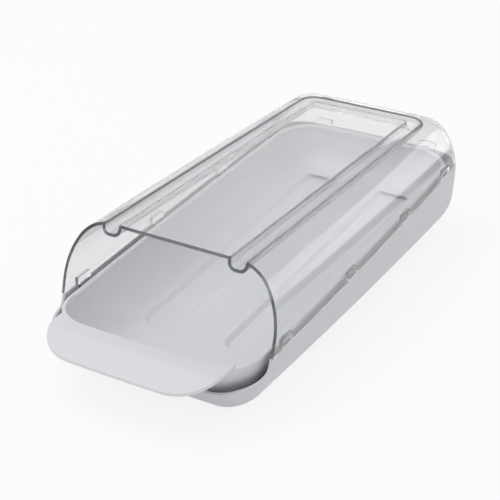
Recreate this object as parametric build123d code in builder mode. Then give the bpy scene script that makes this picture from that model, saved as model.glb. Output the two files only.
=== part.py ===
"""Two-lane rolling egg dispenser: a tub, a sloping tray with a handle lip, a clear lid and four pads.

Millimetres. +Z is up and the handle points to -Y. The origin lies on the shelf, under the middle
of the overall length.
"""

import os
from math import asin, cos, degrees, radians, sin, sqrt, tan

from build123d import *

os.makedirs("parts", exist_ok=True)

# Tub outline, at the height where the lid meets it
tub_length = 336.0
tub_width = 148.4
side_bow = 1.95
rear_bow = 2.3
front_bow = 0.9
front_corner = 25.4
rear_corner = 22.8
floor_crease = 0.3

# Tub section
tub_wall = 2.2
tub_draft = 1.2
side_round = 29.5
front_round = 28.9
rear_round = 32.5

# Seam between tub and lid, rising to the rear
seam_slope = 3.66
seam_height = 36.7
lid_setback = 30.05
dip_corner = (2.0, 7.4)
dip_knee = (22.0, 12.4)
dip_front = (31.5, 18.6)
dip_rounds = (1.2, 5.0, 9.0)
rim_edge = 0.7

# Lid
lid_height = 88.1
lid_wall = 2.0
arch_low_radius = 54.1
arch_high_radius = 26.0
arch_turn = 33.3
lid_lean = 13.25

# Stacking groove in the lid's top
groove_spacing = 87.7
groove_width = 10.2
groove_depth = 6.2
groove_side_taper = 0.9
groove_round = 3.3
groove_turn = 8.2
groove_rear_margin = 27.2
groove_lip = 0.01
ridge_bury = 1.5

# Locating tabs along the lid's lower edge
tab_stations = (-118.9, -31.9, 55.1, 132.0)
rear_tab_spacing = 86.4
tab_pad_length = 14.0
tab_pad_height = 5.0
tab_tongue_width = 9.0
tab_tongue_drop = 5.0
tab_thickness = 1.8
tab_clearance = 0.4
tab_seam_gap = 0.3
tab_corner = 1.5
tab_bury = 0.6

# Tray
tray_wall = 2.2
tray_side_gap = 4.1
tray_front_gap = 1.2
tray_rear_gap = 2.9
tray_front_corner = 28.0
tray_rear_corner = 29.8
tray_rim_rise = 0.55
tray_depth = 31.0
tray_draft = 5.0
tray_side_round = 26.0
tray_front_round = 22.5
tray_rear_round = 28.0
rim_rounding = 0.9

# Egg tracks sunk into the tray floor
track_spacing = 60.0
track_width = 25.0
track_depth = 2.5
track_start = 36.0
track_end = 284.0
track_corner = 9.0
track_taper = 50.0

# Handle lip on the tray, which slopes down from a shelf a little above the rim
handle_reach = 24.1
handle_width = 119.4
handle_front_height = 29.9
handle_slope = 18.6
handle_rise = 1.6
handle_fold = 14.0
handle_thickness = 2.8
handle_corner = 28.0
handle_bow = 0.95
handle_rounding = 1.1
handle_root = 46.0

# Ribs in the tub that carry the tray
rib_thickness = 1.8
rib_spacing = 26.0
rib_length = 226.0
rib_centre = 14.1
cross_rib_stations = (-85.0, 0.0, 85.0)

# Non-slip pads
foot_length = 26.0
foot_width = 7.2
foot_stand = 1.2
foot_pocket = 0.8
foot_front_station = -105.0
foot_rear_station = 118.0
foot_edge = 0.4

# Places that follow from the sizes above
total_length = handle_reach + tub_length + rear_bow
front_face = handle_reach - total_length / 2
rear_face = front_face + tub_length
middle = (front_face + rear_face) / 2
half_width = tub_width / 2
lid_front = front_face + lid_setback
side_radius = ((tub_length / 2) ** 2 + side_bow**2) / (2 * side_bow)
front_radius = (half_width**2 + front_bow**2) / (2 * front_bow)
rear_radius = (half_width**2 + rear_bow**2) / (2 * rear_bow)
arch_rise = arch_low_radius * sin(radians(arch_turn)) + arch_high_radius * (1 - sin(radians(arch_turn)))
arch_start = lid_height - arch_rise
overcut = 60.0
swing_margin = 1.2
seam_rise = (rear_face - lid_front) * tan(radians(seam_slope))
tub_spare = seam_height + seam_rise + 2 * rim_edge - arch_start


def seam_z(y):
    """Height of the seam plane at a place along the tub."""
    return seam_height + (y - lid_front) * tan(radians(seam_slope))


def bow_at(y):
    """How far the bowed side stands out beyond the tub's ends."""
    return side_bow - (y - middle) ** 2 / (2 * side_radius)


def arch_inset(z):
    """How far the lower arc of the lid's arch has come in at this height."""
    if z <= arch_start:
        return 0.0
    return arch_low_radius - sqrt(arch_low_radius**2 - (z - arch_start) ** 2)


def swung(section, crest, radius, floor):
    """Block behind one bowed wall: its upright section swung about a far axis, above a flat floor.

    The wall faces +X and bows out to a crest this far from the origin.
    """
    axis = Axis((crest - radius, 0, 0), (0, 0, 1))
    half_swing = degrees(asin(tub_length / radius))
    with BuildPart() as block:
        add(section.rotate(axis, -half_swing))
        revolve(axis=axis, revolution_arc=2 * half_swing)
        split(bisect_by=Plane.XY.offset(floor), keep=Keep.TOP)
    return block.part


def wall_section(crest, depth, height, draft, foot_round, arch=0):
    """Section of a leaning wall with a rounded foot; it stands at its crest at zero height.

    Above that it goes on straight, or turns in along an arch of the given radius. The floor will
    cut the rounded foot a crease above its lowest line.
    """
    lean = tan(radians(draft))
    depth += floor_crease
    foot = (crest - depth * lean, -depth)
    with BuildSketch(Plane.XZ) as section:
        with BuildLine():
            if arch:
                wall = Line(foot, (crest, 0))
                top = JernArc(wall @ 1, wall % 1, arch, arch_turn / 2) @ 1
            else:
                top = Line(foot, (crest + height * lean, height)) @ 1
            Polyline(top, (-2 * crest, top.Y), (-2 * crest, -depth), foot)
        make_face()
        fillet(section.vertices().sort_by_distance(foot)[0], foot_round)
    return section.sketch


def round_tub(side, front, rear, half_long, crest, inset, corners, floor, top):
    """Solid tub where four bowed walls meet, with rounded corners and a flat floor.

    Its long axis is Y, its middle is over the origin and its walls are widest at zero height.
    """
    with BuildPart() as block:
        flank = swung(side, crest, side_radius - inset, floor)
        add(flank)
        add(flank.rotate(Axis.Z, 180), mode=Mode.INTERSECT)
        nose = swung(front, half_long + front_bow, front_radius - inset, floor)
        add(nose.rotate(Axis.Z, -90), mode=Mode.INTERSECT)
        tail = swung(rear, half_long + rear_bow, rear_radius - inset, floor)
        add(tail.rotate(Axis.Z, 90), mode=Mode.INTERSECT)
        for end, rounding in zip((-1, 1), corners):
            upright = block.edges().filter_by(
                lambda edge: abs(edge.center().X) > crest / 2
                and end * edge.center().Y > half_long / 2
                and floor < edge.center().Z - floor_crease / 2
                and edge.center().Z + floor_crease / 2 < top
            )
            fillet(upright, rounding)
    return block.part


def tub_block(inset):
    """Solid tub with the whole outline moved in by a wall, taller than the seam."""
    depth = arch_start - foot_stand - inset
    crest = half_width + side_bow - inset
    half_long = tub_length / 2 - inset
    arch = arch_low_radius - inset
    block = round_tub(
        wall_section(crest, depth, 0, tub_draft, side_round - inset, arch),
        wall_section(half_long + front_bow, depth, tub_spare, tub_draft, front_round - inset),
        wall_section(half_long + rear_bow, depth, tub_spare, tub_draft, rear_round - inset),
        half_long,
        crest,
        inset,
        (front_corner - inset, rear_corner - inset),
        -depth,
        arch * sin(radians(arch_turn / 2)),
    )
    with BuildPart() as placed:
        with Locations((0, middle, arch_start)):
            add(block)
    return placed.part


seam_plane = Plane(
    origin=(0, lid_front, seam_height),
    x_dir=(1, 0, 0),
    z_dir=(0, -sin(radians(seam_slope)), cos(radians(seam_slope))),
)
rim_plane = seam_plane.offset(tray_rim_rise)
floor_plane = rim_plane.offset(-tray_depth)
tray_under_plane = floor_plane.offset(-tray_wall)


foot_places = {
    "foot_front_left": (-groove_spacing / 2, middle + foot_front_station),
    "foot_front_right": (groove_spacing / 2, middle + foot_front_station),
    "foot_back_left": (-groove_spacing / 2, middle + foot_rear_station),
    "foot_back_right": (groove_spacing / 2, middle + foot_rear_station),
}

# Ribs that stand on the tub's floor, with sloping tops face to face with the tray
with BuildPart() as ribs:
    with BuildSketch(Plane.XY.offset(foot_stand + tub_wall / 2)):
        rib_middle = middle + rib_centre
        with Locations((-rib_spacing / 2, rib_middle), (rib_spacing / 2, rib_middle)):
            Rectangle(rib_thickness, rib_length)
        with Locations([(0, rib_middle + station) for station in cross_rib_stations]):
            Rectangle(rib_spacing, rib_thickness)
    extrude(amount=lid_height)
    split(bisect_by=tray_under_plane, keep=Keep.BOTTOM)

# Tub
with BuildPart() as base:
    add(tub_block(0))
    add(tub_block(tub_wall), mode=Mode.SUBTRACT)
    # Everything above the seam, and the dip of the front rim, is cut away
    with BuildSketch(Plane.YZ) as above_rim:
        with BuildLine():
            Polyline(
                (rear_face + overcut, seam_z(rear_face + overcut)),
                (lid_front, seam_height),
                (lid_front - dip_corner[0], seam_height - dip_corner[1]),
                (lid_front - dip_knee[0], seam_height - dip_knee[1]),
                (lid_front - dip_front[0], seam_height - dip_front[1]),
                (lid_front - dip_front[0] - overcut, seam_height - dip_front[1] - overcut / 2),
                (lid_front - dip_front[0] - overcut, lid_height + overcut),
                (rear_face + overcut, lid_height + overcut),
                close=True,
            )
        make_face()
        for corner, rounding in zip(((0, 0), dip_corner, dip_knee), dip_rounds):
            place = (lid_front - corner[0], seam_height - corner[1])
            fillet(above_rim.vertices().sort_by_distance(place)[0], rounding)
    extrude(amount=tub_width, both=True, mode=Mode.SUBTRACT)
    rim_edges = base.edges().filter_by(lambda edge: edge.center().Z > seam_height - dip_front[1] - rim_edge)
    fillet(rim_edges.filter_by(lambda edge: edge.length > tub_wall + 4 * rim_edge), rim_edge)
    add(ribs.part)
    with BuildSketch(Plane.XY.offset(foot_stand)):
        with Locations(list(foot_places.values())):
            SlotOverall(foot_length, foot_width, rotation=90)
    extrude(amount=foot_pocket, mode=Mode.SUBTRACT)
base.part.label = "base"


# Pads
feet = []
for name, place in foot_places.items():
    with BuildPart() as foot:
        with BuildSketch():
            with Locations(place):
                SlotOverall(foot_length, foot_width, rotation=90)
        extrude(amount=foot_stand + foot_pocket)
        chamfer(foot.edges().group_by(Axis.Z)[0], foot_edge)
    foot.part.label = name
    feet.append(foot.part)


# Lid
def arch_block(inset):
    """Solid arch, each side swung about a far upright axis so that it bows outwards."""
    swing_radius = side_radius - inset
    axis_x = half_width + side_bow - side_radius
    swing = swing_margin * tub_length / 2 / side_radius
    start = Plane(
        origin=(axis_x, middle, 0),
        x_dir=(cos(swing), -sin(swing), 0),
        z_dir=(-sin(swing), -cos(swing), 0),
    )
    with BuildPart() as block:
        with BuildSketch(start):
            with BuildLine():
                side = Line((swing_radius, 0), (swing_radius, arch_start))
                low = JernArc(side @ 1, (0, 1), arch_low_radius - inset, arch_turn)
                high = JernArc(low @ 1, low % 1, arch_high_radius - inset, 90 - arch_turn)
                centre = side_radius - half_width - 2 * side_bow
                Polyline(high @ 1, (centre, (high @ 1).Y), (centre, 0), side @ 0)
            make_face()
        revolve(axis=Axis((axis_x, middle, 0), (0, 0, 1)), revolution_arc=degrees(2 * swing))
        mirror(about=Plane.YZ)
        with BuildSketch():
            with BuildLine():
                near = front_face - inset
                far = rear_face - inset
                reach = half_width * swing_margin
                drop = rear_bow * (swing_margin**2 - 1)
                Polyline((-reach, far - drop), (-reach, near), (reach, near), (reach, far - drop))
                ThreePointArc((reach, far - drop), (0, far + rear_bow), (-reach, far - drop))
            make_face()
        extrude(amount=lid_height + overcut, mode=Mode.INTERSECT)
        rear_edges = block.faces().sort_by(Axis.Y)[-1].edges().filter_by(lambda edge: edge.center().Z > 1)
        fillet(rear_edges, rear_corner - inset)
    return block.part


def groove_channel(grow, top):
    """The groove's U-shaped run as a solid, grown by a wall and starting a little below the lid's top."""
    half = groove_spacing / 2
    ahead = lid_front - lid_wall
    behind = rear_face - groove_rear_margin
    with BuildPart() as channel:
        with BuildLine() as run:
            FilletPolyline(
                (-half, ahead, lid_height),
                (-half, behind, lid_height),
                (half, behind, lid_height),
                (half, ahead, lid_height),
                radius=groove_turn,
            )
        with BuildSketch(Plane(origin=run.line @ 0, x_dir=(1, 0, 0), z_dir=(0, 1, 0))) as section:
            wide = groove_width / 2 + grow
            deep = groove_depth + grow
            with BuildLine():
                Polyline(
                    (-wide, top),
                    (-wide, 0) if top < 0 else (-wide, top + groove_lip),
                    (-wide + groove_side_taper, deep),
                    (wide - groove_side_taper, deep),
                    (wide, 0) if top < 0 else (wide, top + groove_lip),
                    (wide, top),
                    close=True,
                )
            make_face()
            fillet(section.vertices().group_by(Axis.Y)[-1], groove_round + grow)
        sweep(path=run.line)
    return channel.part


def tab(plane, embed):
    """One locating tab: a pad on the lid's wall and a tongue that drops inside the tub's rim."""
    with BuildPart() as piece:
        with BuildSketch(plane) as pad:
            with Locations((0, tab_seam_gap + tab_pad_height / 2)):
                Rectangle(tab_pad_length, tab_pad_height)
            fillet(pad.vertices().group_by(Axis.Y)[-1], tab_corner)
        extrude(amount=embed)
        with BuildSketch(plane) as tongue:
            with Locations((0, (tab_pad_height - tab_tongue_drop) / 2)):
                Rectangle(tab_tongue_width, tab_pad_height + tab_tongue_drop)
            fillet(tongue.vertices().group_by(Axis.Y)[0], tab_corner)
        extrude(amount=tab_thickness)
    return piece.part


lid_outside = arch_block(0)
lid_inside = arch_block(lid_wall)
ridge = groove_channel(lid_wall, ridge_bury)
groove = groove_channel(0, -lid_wall / 2)
front_plane = Plane(
    origin=(0, lid_front, seam_height),
    x_dir=(1, 0, 0),
    z_dir=(0, cos(radians(lid_lean)), -sin(radians(lid_lean))),
)
tab_reach = tub_wall + tab_clearance + tab_thickness
tab_embed = tab_reach - lid_wall + tab_bury
tabs = []
for station in tab_stations:
    y = middle + station
    for side in (-1, 1):
        x = side * (half_width + bow_at(y) - arch_inset(seam_z(y)) - tab_reach)
        slope = (0, side * cos(radians(seam_slope)), side * sin(radians(seam_slope)))
        tabs.append(tab(Plane(origin=(x, y, seam_z(y)), x_dir=slope, z_dir=(side, 0, 0)), tab_embed))
for side in (-1, 1):
    x = side * rear_tab_spacing / 2
    y = rear_face + rear_bow * (1 - (x / half_width) ** 2) - tab_reach
    tabs.append(tab(Plane(origin=(x, y, seam_z(y)), x_dir=(-1, 0, 0), z_dir=(0, 1, 0)), tab_embed))

with BuildPart() as lid:
    add(lid_outside)
    add(lid_inside, mode=Mode.SUBTRACT)
    add(ridge)
    add(groove, mode=Mode.SUBTRACT)
    split(bisect_by=front_plane, keep=Keep.TOP)
    split(bisect_by=seam_plane, keep=Keep.TOP)
    add(tabs)
lid.part.label = "lid"


# Tray, drawn square to its own sloping rim
def along_slope(y):
    """Distance along the slope from the lid's front corner to a place along the tub."""
    return (y - lid_front) / cos(radians(seam_slope))


tray_length = along_slope(rear_face - tray_rear_gap) - along_slope(front_face + tray_front_gap)
tray_half_long = tray_length / 2 - tub_wall
tray_half_wide = half_width - tub_wall - tray_side_gap
tray_middle = (along_slope(rear_face - tray_rear_gap) + along_slope(front_face + tray_front_gap)) / 2
tray_place = rim_plane.location * Location((0, tray_middle, 0))


def tray_block(inset):
    """The tray's outside, or its hollow when moved in by the wall, taller than the rim."""
    depth = tray_depth + tray_wall - inset
    crest = tray_half_wide + side_bow - inset
    half_long = tray_half_long - inset
    spare = 2 * handle_rise + rim_rounding
    inner_rounds = (tray_side_round, tray_front_round, tray_rear_round)
    rounds = [rounding + tray_wall - inset for rounding in inner_rounds]
    return round_tub(
        wall_section(crest, depth, spare, tray_draft, rounds[0]),
        wall_section(half_long + front_bow, depth, spare, tray_draft, rounds[1]),
        wall_section(half_long + rear_bow, depth, spare, tray_draft, rounds[2]),
        half_long,
        crest,
        half_width - crest + side_bow,
        (tray_front_corner - inset, tray_rear_corner - inset),
        -depth,
        spare,
    )


def tracks(plane, grow):
    """The two egg tracks as solids with leaning sides, grown by a wall under the floor."""
    with BuildPart() as pair:
        with BuildSketch(plane):
            track_middle = (track_start + track_end) / 2
            with Locations((-track_spacing / 2, track_middle), (track_spacing / 2, track_middle)):
                long_side = track_end - track_start + 2 * grow
                RectangleRounded(track_width + 2 * grow, long_side, track_corner + grow)
        extrude(amount=-track_depth, taper=track_taper)
    return pair.part


# The handle's top: a slope up from the front edge, folded softly into a shelf over the rim
handle_plane = Plane(
    origin=(0, -total_length / 2, handle_front_height),
    x_dir=(1, 0, 0),
    z_dir=(0, -sin(radians(handle_slope)), cos(radians(handle_slope))),
)
shelf_start = seam_z(-total_length / 2) + (tray_rim_rise + handle_rise) / cos(radians(seam_slope))
fold = (shelf_start - handle_front_height) / (tan(radians(handle_slope)) - tan(radians(seam_slope)))
fold_place = (fold - total_length / 2, handle_front_height + fold * tan(radians(handle_slope)))
root_place = (handle_root - total_length / 2, shelf_start + handle_root * tan(radians(seam_slope)))
nose_place = (-total_length / 2 - fold, handle_front_height - fold * tan(radians(handle_slope)))
with BuildPart() as handle:
    with BuildSketch(Plane.YZ) as strip:
        with BuildLine():
            Polyline(nose_place, fold_place, root_place)
            Polyline(
                root_place,
                (root_place[0], root_place[1] - handle_thickness),
                (fold_place[0], fold_place[1] - handle_thickness),
                (nose_place[0], nose_place[1] - handle_thickness),
                nose_place,
            )
        make_face()
        fillet(strip.vertices().sort_by_distance(fold_place)[0], handle_fold)
        under_fold = (fold_place[0], fold_place[1] - handle_thickness)
        fillet(strip.vertices().sort_by_distance(under_fold)[0], handle_fold)
    extrude(amount=handle_width, both=True)
    with BuildSketch(handle_plane) as handle_outline:
        with BuildLine():
            half_handle = handle_width / 2
            ThreePointArc((-half_handle, handle_bow), (0, 0), (half_handle, handle_bow))
            Polyline(
                (half_handle, handle_bow),
                (half_handle, handle_root),
                (-half_handle, handle_root),
                (-half_handle, handle_bow),
            )
        make_face()
        fillet(handle_outline.vertices().group_by(Axis.Y)[0], handle_corner)
    extrude(amount=tray_depth, both=True, mode=Mode.INTERSECT)
    outer_edges = handle.edges().filter_by(lambda edge: edge.center().Y < root_place[0] - rim_edge)
    long_edges = outer_edges.filter_by(lambda edge: edge.length > 2 * handle_thickness)
    lip_edges = long_edges.filter_by(
        lambda edge: abs(edge.center().X) > half_handle / 2 or edge.center().Y < fold_place[0]
    )
    fillet(lip_edges, handle_rounding)

with BuildPart() as tray:
    with Locations(tray_place):
        add(tray_block(0))
    split(bisect_by=rim_plane, keep=Keep.BOTTOM)
    fillet(tray.faces().filter_by(rim_plane).sort_by(Axis.Z)[-1].edges(), rim_rounding)
    add(handle.part)
    add(tracks(tray_under_plane, tray_wall))
    with Locations(tray_place):
        add(tray_block(tray_wall), mode=Mode.SUBTRACT)
    add(tracks(floor_plane, 0), mode=Mode.SUBTRACT)
tray.part.label = "tray"

for piece in (base.part, tray.part, lid.part, *feet):
    export_step(piece, f"parts/{piece.label}.step")
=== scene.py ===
"""A rolling fridge dispenser on a pale floor: satin grey tub and tray, and a clear tinted lid.

Metres. +Z is up and the handle points to -Y.
"""

import bmesh
import bpy
import numpy as np
from mathutils import Matrix, Vector
from mathutils.geometry import convex_hull_2d


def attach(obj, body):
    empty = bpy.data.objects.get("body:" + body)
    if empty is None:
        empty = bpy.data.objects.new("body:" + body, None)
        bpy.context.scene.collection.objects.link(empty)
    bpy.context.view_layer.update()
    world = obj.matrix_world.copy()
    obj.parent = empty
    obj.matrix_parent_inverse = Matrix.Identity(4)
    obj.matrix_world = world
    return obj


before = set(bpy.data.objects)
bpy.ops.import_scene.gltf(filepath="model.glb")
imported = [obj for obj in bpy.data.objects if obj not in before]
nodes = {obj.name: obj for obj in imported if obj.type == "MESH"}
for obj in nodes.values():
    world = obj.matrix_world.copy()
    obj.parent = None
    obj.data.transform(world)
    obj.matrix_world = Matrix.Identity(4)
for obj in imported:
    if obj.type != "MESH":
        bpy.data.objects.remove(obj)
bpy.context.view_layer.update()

# Camera, solved from the edges of the tub, the lid and the groove. Angles are in degrees, and the
# azimuth turns from the front towards +X
CAMERA_TARGET = Vector((-0.01186, 0.00185, 0.02900))
CAMERA_DISTANCE = 0.8724
CAMERA_AZIMUTH = 28.222
CAMERA_ELEVATION = 26.669
CAMERA_ROLL = 1.948
CAMERA_LENS = 91.65
CAMERA_SENSOR = 36.0
CAMERA_REACH = 20.0

# Moulded plastic of the tub and the tray
TUB_GREY = (0.645, 0.653, 0.680)
TUB_ROUGHNESS = 0.42
TUB_FINENESS = 1.0
TUB_GRAIN = 0.22
TRAY_GREY = (0.725, 0.732, 0.757)
TRAY_ROUGHNESS = 0.36
TRAY_FINENESS = 1.1
TRAY_GRAIN = 0.16
PLASTIC_SPECULAR = 0.5
PLASTIC_GRAIN_DEPTH = 0.00006
DRIFT_DARKER = 0.975
DRIFT_LIGHTER = 1.02
CLOUD_SMOOTHER = 0.05
CLOUD_ROUGHER = 0.06

# Rubbed edges: how far they reach, the cosine of the normal's turn from no wear to full wear, the
# noise that breaks them up, and what wear does to colour and roughness
WEAR_REACH = 0.0007
WEAR_SAMPLES = 4
WEAR_TURN = (0.99, 0.82)
WEAR_NOISE = (260.0, 4.0, 0.6)
WEAR_PATCHES = (0.4, 0.62, 0.25, 1.0)
WEAR_PALER = 0.35
WEAR_FADING = 0.75
WEAR_SMOOTHER = 0.14

# Clear plastic of the lid
LID_IOR = 1.45
LID_TINT = (0.957, 0.959, 0.964)
LID_HAZE_TINT = 0.985
LID_HAZE_ROUGHNESS = 0.012
LID_SCRATCH_TURN = 0.35
LID_SCRATCH_ROUGHNESS = 0.08
# Painted shade: where the lid's wall is seen edge on its colour darkens, standing in for the long path
# through the wall and the darker room it reflects
LID_GRAZING_PAINTED_SHADE = (0.58, 0.59, 0.61)
LID_GRAZING_BLEND = 0.5
LID_GRAZING_RANGE = (0.62, 0.98)
# Painted shade on the lid's cut front edge, darkening it as the light lost inside the wall would
LID_FRONT_EDGE_PAINTED_SHADE = (0.20, 0.22, 0.25)
LID_EDGE_FACING = (0.4, 0.6)
LID_FRONT_REACH = -0.09
LID_DEPTH_TINT = (0.46, 0.475, 0.50)
LID_DEPTH_DENSITY = 38.0
LID_BODY = 0.9
LID_BODY_TO_SOFT_LIGHT = 0.16

# Rubber of the pads
PAD_GREY = (0.24, 0.245, 0.25)
PAD_LIGHTER = 1.15
PAD_ROUGHNESS = (0.72, 0.88)
PAD_SPECULAR = 0.3
PAD_FINENESS = 0.7
PAD_GRAIN = 0.4
PAD_GRAIN_DEPTH = 0.0001

# Noises, as cells to the metre and detail, and the ranges of them that are used
GRAIN_FINE = (1900.0, 2.0)
GRAIN_FINE_SHARE = 0.6
GRAIN_COARSE = (520.0, 3.0)
CLOUDS = (38.0, 4.0)
DRIFT = (9.0, 2.0)
SLOW_RANGE = (0.3, 0.7)
HAIRLINE_STRETCH = (900.0, 28.0, 300.0)
HAIRLINES = (1.0, 3.0)
HAIRLINE_RIDGES = (0.64, 0.72)
HAZE = (24.0, 3.0)
HAZE_PATCHES = (0.45, 0.62)

# Thickened rim of the tray: the slope of the rim plane in degrees and a point (Y, Z) on it, where
# the rim starts and the depths that hold the wall's outer edge, then its section and its mesh
RIM_SLOPE = 3.66
RIM_POINT = (-0.12705, 0.03725)
RIM_START = -0.1345
RIM_BAND = (0.0003, 0.0012)
RIM_CENTRE = (0.0011, -0.0011)
RIM_OUT = 0.00085
RIM_IN = 0.00225
RIM_UP = 0.0014
RIM_DOWN = 0.0034
RIM_FADE = 0.014
RIM_LEAST = 0.02
RIM_STEPS = 260
RIM_SIDES = 20

# Studio. A lamp is its name, azimuth from +X towards +Y, elevation, distance, size and radiance
ROOM_LEVEL = 0.62
LAMPS = (
    ("back_window", 57.0, 12.5, 1.7, (1.05, 0.72), 1.2),
    ("top_window", 127.0, 21.0, 1.9, (1.4, 1.2), 0.34),
    ("overhead", 200.0, 62.0, 1.5, (0.9, 0.9), 2.4),
    ("front_fill", -75.0, 30.0, 1.8, (1.0, 0.8), 0.8),
)
FLOOR_REACH = 3.0
FLOOR_SIDES = 96
FLOOR_WHITE = (0.93, 0.93, 0.93)
FLOOR_ROUGHNESS = 0.9
FLOOR_SPECULAR = 0.1
FLOOR_GLOW = 0.84
FLAG_START = (0.372, 0.185)
FLAG_END = (0.262, 0.640)
FLAG_HEIGHT = 0.052
FLAG_GREY = (0.12, 0.12, 0.12)


def place_camera():
    """Camera on a sphere about its target, rolled a little about its own line of sight."""
    azimuth, elevation, roll = np.radians((CAMERA_AZIMUTH, CAMERA_ELEVATION, CAMERA_ROLL))
    back = np.array(
        (
            np.sin(azimuth) * np.cos(elevation),
            -np.cos(azimuth) * np.cos(elevation),
            np.sin(elevation),
        )
    )
    right = np.array((np.cos(azimuth), np.sin(azimuth), 0.0))
    up = np.cross(back, right)
    turned_right = np.cos(roll) * right + np.sin(roll) * up
    turned_up = -np.sin(roll) * right + np.cos(roll) * up
    turn = Matrix(np.column_stack((turned_right, turned_up, back)).tolist()).to_4x4()
    data = bpy.data.cameras.new("camera")
    data.lens = CAMERA_LENS
    data.sensor_width = CAMERA_SENSOR
    data.clip_end = CAMERA_REACH
    camera = bpy.data.objects.new("camera", data)
    camera.matrix_world = Matrix.Translation(CAMERA_TARGET + CAMERA_DISTANCE * Vector(back)) @ turn
    bpy.context.scene.collection.objects.link(camera)
    bpy.context.scene.camera = camera


# Nodes that effects and materials are made of


def noise(tree, vector, scale, detail, roughness=0.5):
    """Noise texture on the given coordinates."""
    texture = tree.nodes.new("ShaderNodeTexNoise")
    texture.inputs["Scale"].default_value = scale
    texture.inputs["Detail"].default_value = detail
    texture.inputs["Roughness"].default_value = roughness
    tree.links.new(vector, texture.inputs["Vector"])
    return texture.outputs["Fac"]


def spread(tree, value, low, high, out_low=0.0, out_high=1.0):
    """Straight map from one range of values to another, which stops at its ends."""
    remap = tree.nodes.new("ShaderNodeMapRange")
    ends = {"From Min": low, "From Max": high, "To Min": out_low, "To Max": out_high}
    for label, number in ends.items():
        remap.inputs[label].default_value = number
    tree.links.new(value, remap.inputs["Value"])
    return remap.outputs["Result"]


def reckon(tree, operation, first, second=None):
    """Math node on one link, on two, or on a link and a plain number."""
    maths = tree.nodes.new("ShaderNodeMath")
    maths.operation = operation
    tree.links.new(first, maths.inputs[0])
    if isinstance(second, (int, float)):
        maths.inputs[1].default_value = second
    elif second is not None:
        tree.links.new(second, maths.inputs[1])
    return maths.outputs[0]


def blend(tree, mask, first, second):
    """Colour that goes with a mask from the first to the second, each a link or a plain colour."""
    mix = tree.nodes.new("ShaderNodeMix")
    mix.data_type = "RGBA"
    tree.links.new(mask, mix.inputs["Factor"])
    for label, colour in (("A", first), ("B", second)):
        if isinstance(colour, bpy.types.NodeSocket):
            tree.links.new(colour, mix.inputs[label])
        else:
            mix.inputs[label].default_value = (*colour, 1.0)
    return mix.outputs["Result"]


def y_part(tree, vector):
    """The Y part of a vector."""
    split = tree.nodes.new("ShaderNodeSeparateXYZ")
    tree.links.new(vector, split.inputs[0])
    return split.outputs["Y"]


def seen_directly(tree):
    """One for rays from the camera, from glass and from gloss, and nought for lighting."""
    path = tree.nodes.new("ShaderNodeLightPath")
    seen = reckon(tree, "MAXIMUM", path.outputs["Is Camera Ray"], path.outputs["Is Transmission Ray"])
    return reckon(tree, "MAXIMUM", seen, path.outputs["Is Glossy Ray"])


# Effects, as node groups


def new_group(name, inputs, outputs):
    """Node group with named inputs and value outputs; gives the tree and its two end nodes."""
    group = bpy.data.node_groups.new(name, "ShaderNodeTree")
    for label, kind, value in inputs:
        socket = group.interface.new_socket(label, in_out="INPUT", socket_type=kind)
        if value is not None:
            socket.default_value = value
    for label in outputs:
        group.interface.new_socket(label, in_out="OUTPUT", socket_type="NodeSocketFloat")
    return group, group.nodes.new("NodeGroupInput"), group.nodes.new("NodeGroupOutput")


def moulded_grain_group():
    """Fine spark-eroded grain, cloudy gloss and faint colour drift of a moulded piece.

    Height is two noises added, one fine and one coarser; gloss and tone are slow noises.
    """
    group, start, end = new_group(
        "moulded_grain",
        [("Vector", "NodeSocketVector", None), ("Fineness", "NodeSocketFloat", 1.0)],
        ["Height", "Gloss", "Tone"],
    )
    stretch = group.nodes.new("ShaderNodeVectorMath")
    stretch.operation = "SCALE"
    group.links.new(start.outputs["Vector"], stretch.inputs[0])
    group.links.new(start.outputs["Fineness"], stretch.inputs["Scale"])
    fine = noise(group, stretch.outputs[0], *GRAIN_FINE)
    coarse = noise(group, stretch.outputs[0], *GRAIN_COARSE)
    height = reckon(group, "ADD", reckon(group, "MULTIPLY", fine, GRAIN_FINE_SHARE), coarse)
    group.links.new(height, end.inputs["Height"])
    group.links.new(noise(group, start.outputs["Vector"], *CLOUDS), end.inputs["Gloss"])
    group.links.new(noise(group, start.outputs["Vector"], *DRIFT), end.inputs["Tone"])
    return group


def edge_wear_group():
    """Mask of handled edges: how far a rounded normal leaves the true one, broken up by noise."""
    group, start, end = new_group(
        "edge_wear",
        [("Vector", "NodeSocketVector", None), ("Reach", "NodeSocketFloat", WEAR_REACH)],
        ["Mask"],
    )
    rounded = group.nodes.new("ShaderNodeBevel")
    rounded.samples = WEAR_SAMPLES
    group.links.new(start.outputs["Reach"], rounded.inputs["Radius"])
    geometry = group.nodes.new("ShaderNodeNewGeometry")
    turn = group.nodes.new("ShaderNodeVectorMath")
    turn.operation = "DOT_PRODUCT"
    group.links.new(rounded.outputs["Normal"], turn.inputs[0])
    group.links.new(geometry.outputs["Normal"], turn.inputs[1])
    edge = spread(group, turn.outputs["Value"], *WEAR_TURN)
    rubbed = spread(group, noise(group, start.outputs["Vector"], *WEAR_NOISE), *WEAR_PATCHES)
    group.links.new(reckon(group, "MULTIPLY", edge, rubbed), end.inputs["Mask"])
    return group


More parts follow.
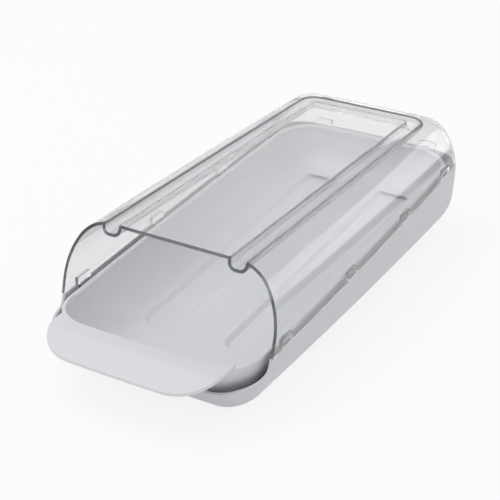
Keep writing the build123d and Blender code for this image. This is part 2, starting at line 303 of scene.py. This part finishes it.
def hairline_group():
    """Hairline scratches from wiping: thin ridges of a stretched noise, with clean patches between."""
    group, start, end = new_group(
        "hairlines",
        [("Vector", "NodeSocketVector", None), ("Turn", "NodeSocketFloat", 0.0)],
        ["Mask", "Haze"],
    )
    rotate = group.nodes.new("ShaderNodeVectorRotate")
    rotate.rotation_type = "Z_AXIS"
    group.links.new(start.outputs["Vector"], rotate.inputs["Vector"])
    group.links.new(start.outputs["Turn"], rotate.inputs["Angle"])
    stretch = group.nodes.new("ShaderNodeMapping")
    stretch.inputs["Scale"].default_value = HAIRLINE_STRETCH
    group.links.new(rotate.outputs["Vector"], stretch.inputs["Vector"])
    lines = spread(group, noise(group, stretch.outputs["Vector"], *HAIRLINES), *HAIRLINE_RIDGES)
    haze = noise(group, start.outputs["Vector"], *HAZE)
    patches = spread(group, haze, *HAZE_PATCHES)
    group.links.new(reckon(group, "MULTIPLY", lines, patches), end.inputs["Mask"])
    group.links.new(haze, end.inputs["Haze"])
    return group


grain = moulded_grain_group()
wear = edge_wear_group()
hairlines = hairline_group()


# Materials


def new_material(name, **values):
    """Principled material with plain values on its own sockets; gives material, tree and shader."""
    material = bpy.data.materials.new(name)
    material.use_nodes = True
    tree = material.node_tree
    tree.nodes.clear()
    output = tree.nodes.new("ShaderNodeOutputMaterial")
    shader = tree.nodes.new("ShaderNodeBsdfPrincipled")
    for socket, value in values.items():
        shader.inputs[socket.replace("_", " ")].default_value = value
    tree.links.new(shader.outputs["BSDF"], output.inputs["Surface"])
    return material, tree, shader


def effect(tree, group, **values):
    """One of the shared effects, placed on Object coordinates with its own values."""
    node = tree.nodes.new("ShaderNodeGroup")
    node.node_tree = group
    place = tree.nodes.new("ShaderNodeTexCoord")
    tree.links.new(place.outputs["Object"], node.inputs["Vector"])
    for label, value in values.items():
        node.inputs[label].default_value = value
    return node


def raise_grain(tree, shader, height, strength, depth):
    """Grain of the given depth on the shader's normal."""
    bump = tree.nodes.new("ShaderNodeBump")
    bump.inputs["Strength"].default_value = strength
    bump.inputs["Distance"].default_value = depth
    tree.links.new(height, bump.inputs["Height"])
    tree.links.new(bump.outputs["Normal"], shader.inputs["Normal"])


def satin_plastic(name, colour, roughness, fineness, grain_strength):
    """Moulded satin plastic: fine grain, cloudy gloss, and rubbed edges a little paler and smoother."""
    material, tree, shader = new_material(name, Specular_IOR_Level=PLASTIC_SPECULAR)
    texture = effect(tree, grain, Fineness=fineness)
    rubbed = effect(tree, wear, Reach=WEAR_REACH).outputs["Mask"]
    colour = np.array(colour)
    tone = blend(tree, texture.outputs["Tone"], colour * DRIFT_DARKER, colour * DRIFT_LIGHTER)
    paler = blend(tree, reckon(tree, "MULTIPLY", rubbed, WEAR_PALER), tone, colour**WEAR_FADING)
    tree.links.new(paler, shader.inputs["Base Color"])
    smooth, rough = roughness - CLOUD_SMOOTHER, roughness + CLOUD_ROUGHER
    cloudy = spread(tree, texture.outputs["Gloss"], *SLOW_RANGE, smooth, rough)
    smoother = reckon(tree, "MULTIPLY", rubbed, -WEAR_SMOOTHER)
    tree.links.new(reckon(tree, "ADD", cloudy, smoother), shader.inputs["Roughness"])
    raise_grain(tree, shader, texture.outputs["Height"], grain_strength, PLASTIC_GRAIN_DEPTH)
    return material


def front_edge_shade_mask(tree):
    """Mask for painted shade on the lid's cut front edge: faces at the front of the lid that look along
    Y.
    """
    geometry = tree.nodes.new("ShaderNodeNewGeometry")
    place = tree.nodes.new("ShaderNodeTexCoord")
    facing = reckon(tree, "ABSOLUTE", y_part(tree, geometry.outputs["Normal"]))
    along = spread(tree, facing, *LID_EDGE_FACING)
    ahead = reckon(tree, "LESS_THAN", y_part(tree, place.outputs["Object"]), LID_FRONT_REACH)
    return reckon(tree, "MULTIPLY", along, ahead)


def clear_tint_and_painted_shade(tree, haze):
    """Colour of the clear plastic: nearly white, with painted shade where it is seen edge on and on its
    cut front edge.
    """
    hazy = blend(tree, haze, LID_TINT, np.array(LID_TINT) * LID_HAZE_TINT)
    slant = tree.nodes.new("ShaderNodeLayerWeight")
    slant.inputs["Blend"].default_value = LID_GRAZING_BLEND
    edge_on = spread(tree, slant.outputs["Facing"], *LID_GRAZING_RANGE)
    with_grazing_shade = blend(tree, edge_on, hazy, LID_GRAZING_PAINTED_SHADE)
    return blend(tree, front_edge_shade_mask(tree), with_grazing_shade, LID_FRONT_EDGE_PAINTED_SHADE)


def clear_plastic(name):
    """Polished clear plastic: hairline scratches, a hazy gloss, and a grey that deepens in thick parts.

    Shadow and diffuse rays pass almost freely, as light does through a thin clear wall.
    """
    material, tree, shader = new_material(name, Transmission_Weight=1.0, IOR=LID_IOR)
    marks = effect(tree, hairlines, Turn=LID_SCRATCH_TURN)
    tree.links.new(clear_tint_and_painted_shade(tree, marks.outputs["Haze"]), shader.inputs["Base Color"])
    hazy = spread(tree, marks.outputs["Haze"], *SLOW_RANGE, 0.0, LID_HAZE_ROUGHNESS)
    scratched = reckon(tree, "MULTIPLY", marks.outputs["Mask"], LID_SCRATCH_ROUGHNESS)
    tree.links.new(reckon(tree, "ADD", hazy, scratched), shader.inputs["Roughness"])
    path = tree.nodes.new("ShaderNodeLightPath")
    soft = reckon(tree, "MAXIMUM", path.outputs["Is Shadow Ray"], path.outputs["Is Diffuse Ray"])
    body = spread(tree, soft, 0.0, 1.0, LID_BODY, LID_BODY_TO_SOFT_LIGHT)
    tree.links.new(body, shader.inputs["Alpha"])
    depth = tree.nodes.new("ShaderNodeVolumeAbsorption")
    depth.inputs["Color"].default_value = (*LID_DEPTH_TINT, 1.0)
    depth.inputs["Density"].default_value = LID_DEPTH_DENSITY
    tree.links.new(depth.outputs["Volume"], tree.nodes["Material Output"].inputs["Volume"])
    return material


def rubber(name, colour):
    """Soft matt rubber with a coarse grain."""
    material, tree, shader = new_material(name, Specular_IOR_Level=PAD_SPECULAR)
    texture = effect(tree, grain, Fineness=PAD_FINENESS)
    tone = blend(tree, texture.outputs["Tone"], colour, np.array(colour) * PAD_LIGHTER)
    tree.links.new(tone, shader.inputs["Base Color"])
    cloudy = spread(tree, texture.outputs["Gloss"], *SLOW_RANGE, *PAD_ROUGHNESS)
    tree.links.new(cloudy, shader.inputs["Roughness"])
    raise_grain(tree, shader, texture.outputs["Height"], PAD_GRAIN, PAD_GRAIN_DEPTH)
    return material


def dress(names, material):
    """Gives CAD nodes their material and slot."""
    for name in names:
        piece = nodes[name]
        piece.data.materials.clear()
        piece.data.materials.append(material)


# Meshes


def new_object(name, points, faces):
    """Mesh object at the origin, in the scene."""
    mesh = bpy.data.meshes.new(name)
    mesh.from_pydata(points.tolist(), [], faces)
    piece = bpy.data.objects.new(name, mesh)
    bpy.context.scene.collection.objects.link(piece)
    return piece


def face_outwards(mesh):
    """Turns the faces of a closed mesh outwards."""
    shell = bmesh.new()
    shell.from_mesh(mesh)
    bmesh.ops.recalc_face_normals(shell, faces=shell.faces)
    shell.to_mesh(mesh)
    shell.free()


def tube_faces(rings, sides):
    """Four-cornered faces between rings of points that follow each other, and a cap at each end."""
    ring = np.arange(sides)
    after = np.roll(ring, -1)
    start = sides * np.arange(rings - 1)[:, None]
    corners = (start + ring, start + sides + ring, start + sides + after, start + after)
    caps = [ring[::-1].tolist(), (sides * (rings - 1) + ring).tolist()]
    return np.stack(corners, axis=2).reshape(-1, 4).tolist() + caps


# Rolled rim of the tray


def rim_height(y):
    """Height of the tray's sloping rim plane at a place along it."""
    return RIM_POINT[1] + (y - RIM_POINT[0]) * np.tan(np.radians(RIM_SLOPE))


def tray_edge():
    """The tray's outer edge behind the handle, just under its rim, as evenly spaced points.

    It is the convex outline of the tray's points in that band, opened where it crosses the front,
    and it runs from the left end round the rear to the right end. Gives the points, and how far
    along the edge each of them lies.
    """
    mesh = nodes["tray"].data
    points = np.empty(3 * len(mesh.vertices))
    mesh.vertices.foreach_get("co", points)
    points = points.reshape(-1, 3)
    depth = rim_height(points[:, 1]) - points[:, 2]
    inside = (depth > RIM_BAND[0]) & (depth < RIM_BAND[1]) & (points[:, 1] > RIM_START)
    flat = points[inside, :2]
    outline = flat[convex_hull_2d([Vector(point) for point in flat])]
    crosses = outline[:, 0] * np.roll(outline[:, 0], -1) < 0
    front_gap = np.argmax(crosses & (outline[:, 1] < 0))
    outline = np.roll(outline, -front_gap - 1, axis=0)
    if outline[0, 0] > outline[-1, 0]:
        outline = outline[::-1]
    travelled = np.append(0.0, np.cumsum(np.linalg.norm(np.diff(outline, axis=0), axis=1)))
    even = np.linspace(0.0, travelled[-1], RIM_STEPS)
    return np.column_stack([np.interp(even, travelled, outline[:, axis]) for axis in (0, 1)]), even


def rim_section():
    """Section of the rim about its centre: how far inward and how far up each of its points lies.

    It is four quarter ellipses, and the inner and lower ones are longer, so that the rim swells
    inwards and runs out down the wall.
    """
    turn = np.linspace(0.0, 2 * np.pi, RIM_SIDES, endpoint=False)
    inward = np.where(np.cos(turn) > 0, RIM_IN, RIM_OUT) * np.cos(turn)
    upward = np.where(np.sin(turn) > 0, RIM_UP, RIM_DOWN) * np.sin(turn)
    return inward, upward


def rim_growth(travelled):
    """Share of the full section along the edge: a smooth step over its first and last stretch.

    The step is three times the square of the way through it, less twice the cube.
    """
    to_end = np.minimum(travelled, travelled[-1] - travelled)
    way = np.clip(to_end / RIM_FADE, RIM_LEAST, 1.0)
    return way**2 * (3.0 - 2.0 * way)


def rolled_rim():
    """Thickened rim carried round the tray's edge, thinning to nothing where the handle starts.

    Each ring of points is the section times its growth, about a centre inside the wall. It stands
    square to the edge, and is lifted to the rim plane.
    """
    edge, travelled = tray_edge()
    along = np.gradient(edge, axis=0)
    along /= np.linalg.norm(along, axis=1)[:, None]
    inward = np.column_stack((along[:, 1], -along[:, 0]))
    growth = rim_growth(travelled)[:, None]
    section_in, section_up = rim_section()
    reach = RIM_CENTRE[0] + growth * section_in
    lift = RIM_CENTRE[1] + growth * section_up
    flat = edge[:, None, :] + reach[:, :, None] * inward[:, None, :]
    height = rim_height(flat[:, :, 1]) + lift
    points = np.concatenate((flat, height[:, :, None]), axis=2).reshape(-1, 3)
    rim = new_object("tray_rim", points, tube_faces(RIM_STEPS, RIM_SIDES))
    face_outwards(rim.data)
    rim.data.shade_smooth()
    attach(rim, "egg_tray")
    return rim


# Studio


def white_studio():
    """Even pale room; the camera, glass and gloss see it as plain white."""
    world = bpy.data.worlds.new("studio")
    bpy.context.scene.world = world
    world.use_nodes = True
    tree = world.node_tree
    tree.nodes.clear()
    output = tree.nodes.new("ShaderNodeOutputWorld")
    mix = tree.nodes.new("ShaderNodeMixShader")
    tree.links.new(seen_directly(tree), mix.inputs["Fac"])
    for socket, level in ((1, ROOM_LEVEL), (2, 1.0)):
        room = tree.nodes.new("ShaderNodeBackground")
        room.inputs["Color"].default_value = (1.0, 1.0, 1.0, 1.0)
        room.inputs["Strength"].default_value = level
        tree.links.new(room.outputs[0], mix.inputs[socket])
    tree.links.new(mix.outputs[0], output.inputs["Surface"])


def softbox(name, azimuth, elevation, distance, size, radiance):
    """Rectangular lamp aimed at the object from a bearing; its power follows from its radiance."""
    angle, rise = np.radians((azimuth, elevation))
    direction = Vector((np.cos(rise) * np.cos(angle), np.cos(rise) * np.sin(angle), np.sin(rise)))
    light = bpy.data.lights.new(name, "AREA")
    light.shape = "RECTANGLE"
    light.size, light.size_y = size
    light.energy = radiance * np.pi * size[0] * size[1]
    lamp = bpy.data.objects.new(name, light)
    lamp.location = CAMERA_TARGET + distance * direction
    lamp.rotation_euler = direction.to_track_quat("Z", "Y").to_euler()
    lamp.visible_camera = False
    bpy.context.scene.collection.objects.link(lamp)


def pale_floor():
    """Flat round floor: one face whose corners lie evenly on a circle.

    The camera, glass and gloss see most of its white as a glow, which keeps a faint shadow.
    """
    turns = np.linspace(0.0, 2 * np.pi, FLOOR_SIDES, endpoint=False)
    circle = (FLOOR_REACH * np.cos(turns), FLOOR_REACH * np.sin(turns), np.zeros_like(turns))
    floor = new_object("floor", np.column_stack(circle), [list(range(FLOOR_SIDES))])
    material, tree, shader = new_material(
        "floor_paint",
        Base_Color=(*FLOOR_WHITE, 1.0),
        Roughness=FLOOR_ROUGHNESS,
        Specular_IOR_Level=FLOOR_SPECULAR,
    )
    glow = tree.nodes.new("ShaderNodeEmission")
    mix = tree.nodes.new("ShaderNodeMixShader")
    tree.links.new(reckon(tree, "MULTIPLY", seen_directly(tree), FLOOR_GLOW), mix.inputs["Fac"])
    tree.links.new(shader.outputs["BSDF"], mix.inputs[1])
    tree.links.new(glow.outputs["Emission"], mix.inputs[2])
    tree.links.new(mix.outputs[0], tree.nodes["Material Output"].inputs["Surface"])
    floor.data.materials.append(material)


def reflection_flag():
    """Low dark card that only reflections see: an upright strip from one floor point to another."""
    low = np.array((FLAG_START, FLAG_END, FLAG_END, FLAG_START))
    points = np.column_stack((low, (0.0, 0.0, FLAG_HEIGHT, FLAG_HEIGHT)))
    flag = new_object("flag", points, [(0, 1, 2, 3)])
    cloth, *_ = new_material(
        "flag_cloth", Base_Color=(*FLAG_GREY, 1.0), Roughness=1.0, Specular_IOR_Level=0.0
    )
    flag.data.materials.append(cloth)
    flag.visible_camera = False
    flag.visible_diffuse = False
    flag.visible_transmission = False
    flag.visible_shadow = False


place_camera()
tub_satin = satin_plastic("tub_plastic", TUB_GREY, TUB_ROUGHNESS, TUB_FINENESS, TUB_GRAIN)
tray_satin = satin_plastic("tray_plastic", TRAY_GREY, TRAY_ROUGHNESS, TRAY_FINENESS, TRAY_GRAIN)
pads = [name for name in nodes if name.startswith("foot")]
dress(["base"], tub_satin)
dress(["tray"], tray_satin)
rolled_rim().data.materials.append(tray_satin)
dress(["lid"], clear_plastic("clear_plastic"))
dress(pads, rubber("foot_rubber", PAD_GREY))

white_studio()
for lamp in LAMPS:
    softbox(*lamp)
pale_floor()
reflection_flag()
bpy.context.scene.view_settings.view_transform = "Standard"
